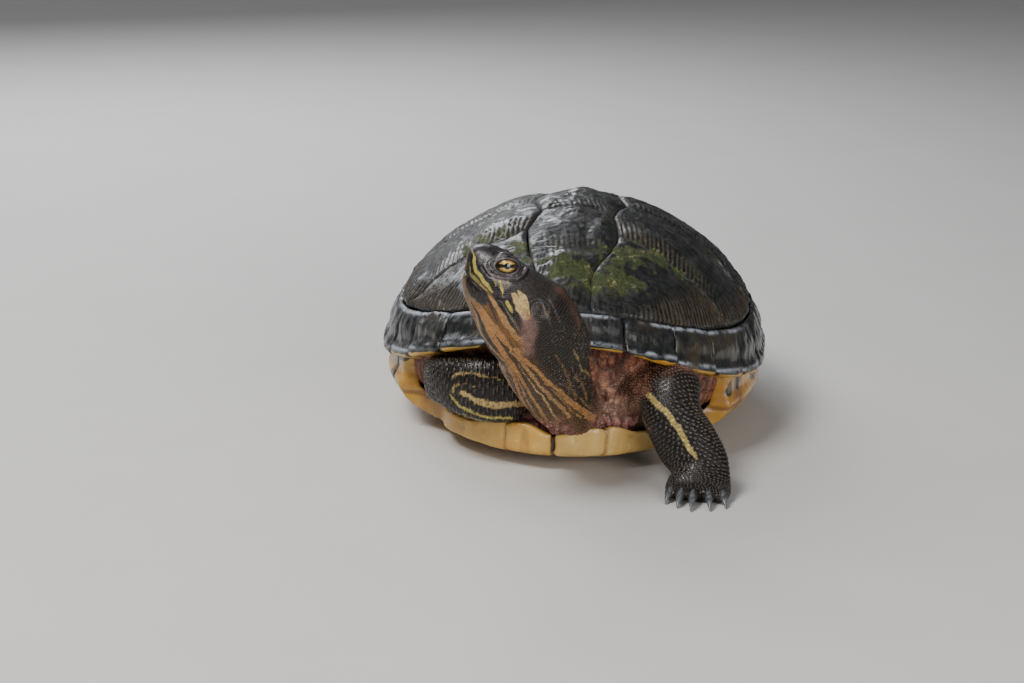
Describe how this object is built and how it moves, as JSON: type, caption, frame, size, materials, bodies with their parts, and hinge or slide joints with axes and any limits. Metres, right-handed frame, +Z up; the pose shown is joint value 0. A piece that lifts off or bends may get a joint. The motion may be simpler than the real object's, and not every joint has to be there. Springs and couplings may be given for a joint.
{
  "type": "pond slider turtle",
  "caption": "Freshwater turtle resting on its plastron, domed dark shell, long striped neck raised and head turned to its right, one foreleg planted and one folded in.",
  "frame": {"origin": "middle of the flat under the plastron, on the floor", "axes": "+Z up, the shell's nose end towards -Y, +X the turtle's left"},
  "size_m": [0.193, 0.3256, 0.1191],
  "materials": {
    "carapace_scute": "wet horn",
    "marginal_scute": "wet horn",
    "plastron": "worn satin horn",
    "skin": "damp scaly skin",
    "eye": "wet"
  },
  "bodies": {
    "root": {"vertebral_1": "carapace_scute", "vertebral_2": "carapace_scute", "vertebral_3": "carapace_scute", "vertebral_4": "carapace_scute", "vertebral_5": "carapace_scute", "costal_left_1": "carapace_scute", "costal_left_2": "carapace_scute", "costal_left_3": "carapace_scute", "costal_left_4": "carapace_scute", "costal_right_1": "carapace_scute", "costal_right_2": "carapace_scute", "costal_right_3": "carapace_scute", "costal_right_4": "carapace_scute", "nuchal": "marginal_scute", "marginal_left_01": "marginal_scute", "marginal_left_02": "marginal_scute", "marginal_left_03": "marginal_scute", "marginal_left_04": "marginal_scute", "marginal_left_05": "marginal_scute", "marginal_left_06": "marginal_scute", "marginal_left_07": "marginal_scute", "marginal_left_08": "marginal_scute", "marginal_left_09": "marginal_scute", "marginal_left_10": "marginal_scute", "marginal_left_11": "marginal_scute", "marginal_left_12": "marginal_scute", "marginal_right_01": "marginal_scute", "marginal_right_02": "marginal_scute", "marginal_right_03": "marginal_scute", "marginal_right_04": "marginal_scute", "marginal_right_05": "marginal_scute", "marginal_right_06": "marginal_scute", "marginal_right_07": "marginal_scute", "marginal_right_08": "marginal_scute", "marginal_right_09": "marginal_scute", "marginal_right_10": "marginal_scute", "marginal_right_11": "marginal_scute", "marginal_right_12": "marginal_scute", "plastron": "plastron", "neck": "skin", "head": "skin", "lower_jaw": "skin", "trunk": "skin", "tail": "skin", "foreleg_left": "skin", "foreleg_right": "skin", "forefoot_left": "skin", "forefoot_right": "skin", "hind_leg_left": "skin", "hind_leg_right": "skin", "hind_foot_left": "skin", "hind_foot_right": "skin", "eye_left": "eye", "eye_right": "eye"}
  },
  "joints": []
}
